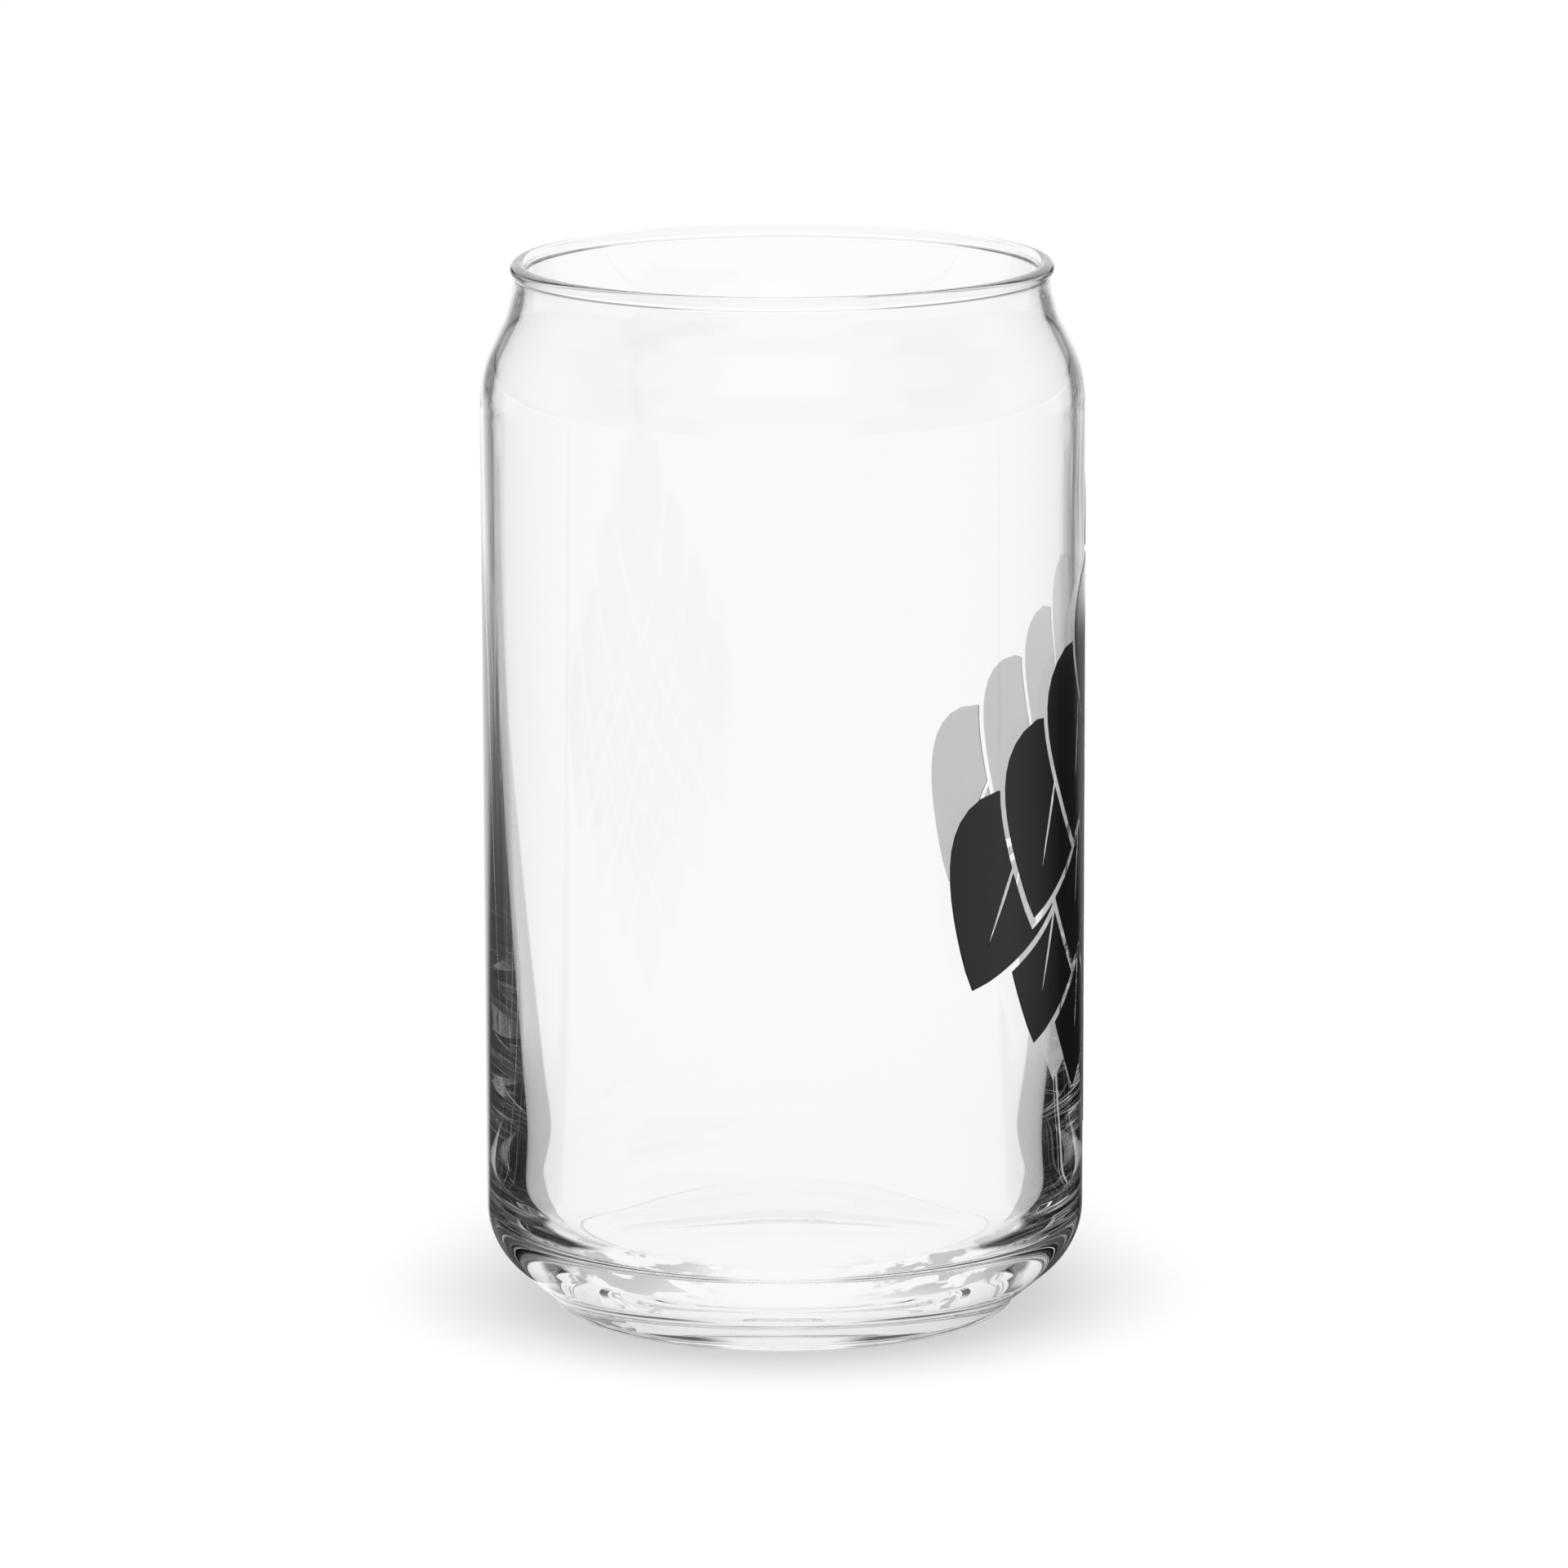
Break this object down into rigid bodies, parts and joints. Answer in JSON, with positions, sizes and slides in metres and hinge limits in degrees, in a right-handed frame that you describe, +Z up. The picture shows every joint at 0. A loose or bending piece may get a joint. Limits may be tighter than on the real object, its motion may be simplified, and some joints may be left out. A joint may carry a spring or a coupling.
{
  "type": "can shaped drinking glass",
  "caption": "Clear tumbler shaped like a drinks can, with a shouldered neck, round rim bead, bevelled foot, heavy base and a black printed hop cone on one side.",
  "frame": {"origin": "centre of the circle that the foot rests on, at the table", "axes": "+Z up along the axis of the glass, +X through the middle of the print, -Y towards the viewer of the main view"},
  "size_m": [0.0763, 0.0762, 0.1338],
  "materials": {
    "clear_glass": "clear polished soda-lime glass, colourless",
    "black_ink": "fired black ink, satin gloss outside, grey where it is seen from inside through the glass"
  },
  "bodies": {
    "root": {"glass": "clear_glass", "print": "black_ink"}
  },
  "joints": []
}
